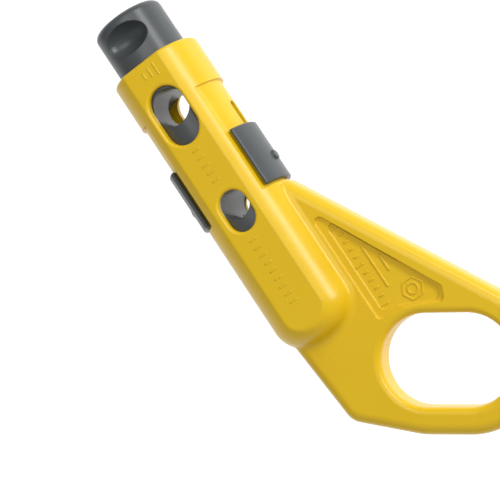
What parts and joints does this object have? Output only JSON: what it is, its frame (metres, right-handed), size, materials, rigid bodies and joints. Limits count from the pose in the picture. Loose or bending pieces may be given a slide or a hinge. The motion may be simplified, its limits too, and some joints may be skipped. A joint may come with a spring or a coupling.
{
  "type": "coax cable stripper",
  "caption": "Radial coax cable stripper with a yellow moulded barrel and finger loop, a grey spring plunger, side clips and blade cassettes.",
  "frame": {"origin": "middle of the tool's box, on the surface it lies on", "axes": "+X along the barrel towards the thumb head, +Z out of the front cable windows, the finger loop towards -Y"},
  "size_m": [0.1534, 0.0639, 0.0236],
  "materials": {
    "body_yellow": "satin",
    "grey_plastic": "satin",
    "cassette_plastic": "matte",
    "blade_steel": "polished",
    "screw_steel": "satin",
    "spring_steel": "polished"
  },
  "bodies": {
    "shell": {"body_shell": "body_yellow", "return_spring": "spring_steel"},
    "carriage": {"plunger": "grey_plastic", "side_clip_right": "grey_plastic", "side_clip_left": "grey_plastic", "large_cassette_block": "cassette_plastic", "large_cassette_spacer": "cassette_plastic", "large_cassette_cover": "cassette_plastic", "large_clamp_screws": "screw_steel", "small_cassette_block": "cassette_plastic", "small_cassette_spacer": "cassette_plastic", "small_cassette_cover": "cassette_plastic", "small_clamp_screws": "screw_steel"},
    "large_core_blade_holder": {"large_core_blade": "blade_steel"},
    "large_core_adjuster_screw": {"large_core_adjuster": "screw_steel"},
    "large_jacket_blade_holder": {"large_jacket_blade": "blade_steel"},
    "large_jacket_adjuster_screw": {"large_jacket_adjuster": "screw_steel"},
    "small_core_blade_holder": {"small_core_blade": "blade_steel"},
    "small_core_adjuster_screw": {"small_core_adjuster": "screw_steel"},
    "small_jacket_blade_holder": {"small_jacket_blade": "blade_steel"},
    "small_jacket_adjuster_screw": {"small_jacket_adjuster": "screw_steel"}
  },
  "joints": [
    {"name": "plunger_slide", "type": "slide", "parent": "shell", "child": "carriage", "axis": [1, 0, 0], "range_m": [-0.0005, 0.009], "stiffness_N_per_m": 1165, "springref_m": 0.0045, "deforming": ["return_spring"]},
    {"name": "large_core_blade_feed", "type": "slide", "parent": "carriage", "child": "large_core_blade_holder", "axis": [1, 0, 0], "range_m": [-0.0004, 0.0004]},
    {"name": "large_core_adjuster_turn", "type": "hinge", "parent": "large_core_blade_holder", "child": "large_core_adjuster_screw", "pos_m": [0.0224, 0.01722, 0.00863], "axis": [1, 0, 0], "range_deg": [-322, 322]},
    {"name": "large_jacket_blade_feed", "type": "slide", "parent": "carriage", "child": "large_jacket_blade_holder", "axis": [1, 0, 0], "range_m": [-0.0004, 0.0004]},
    {"name": "large_jacket_adjuster_turn", "type": "hinge", "parent": "large_jacket_blade_holder", "child": "large_jacket_adjuster_screw", "pos_m": [0.0224, 0.01722, 0.01498], "axis": [1, 0, 0], "range_deg": [-322, 322]},
    {"name": "small_core_blade_feed", "type": "slide", "parent": "carriage", "child": "small_core_blade_holder", "axis": [1, 0, 0], "range_m": [-0.0004, 0.0004]},
    {"name": "small_core_adjuster_turn", "type": "hinge", "parent": "small_core_blade_holder", "child": "small_core_adjuster_screw", "pos_m": [-0.0061, 0.01722, 0.00863], "axis": [1, 0, 0], "range_deg": [-322, 322]},
    {"name": "small_jacket_blade_feed", "type": "slide", "parent": "carriage", "child": "small_jacket_blade_holder", "axis": [1, 0, 0], "range_m": [-0.0004, 0.0004]},
    {"name": "small_jacket_adjuster_turn", "type": "hinge", "parent": "small_jacket_blade_holder", "child": "small_jacket_adjuster_screw", "pos_m": [-0.0061, 0.01722, 0.01498], "axis": [1, 0, 0], "range_deg": [-322, 322]}
  ],
  "couplings": [
    {"joint": "large_core_adjuster_turn", "follows": "large_core_blade_feed", "rad_per_m": 13963},
    {"joint": "large_jacket_adjuster_turn", "follows": "large_jacket_blade_feed", "rad_per_m": 13963},
    {"joint": "small_core_adjuster_turn", "follows": "small_core_blade_feed", "rad_per_m": 13963},
    {"joint": "small_jacket_adjuster_turn", "follows": "small_jacket_blade_feed", "rad_per_m": 13963}
  ]
}
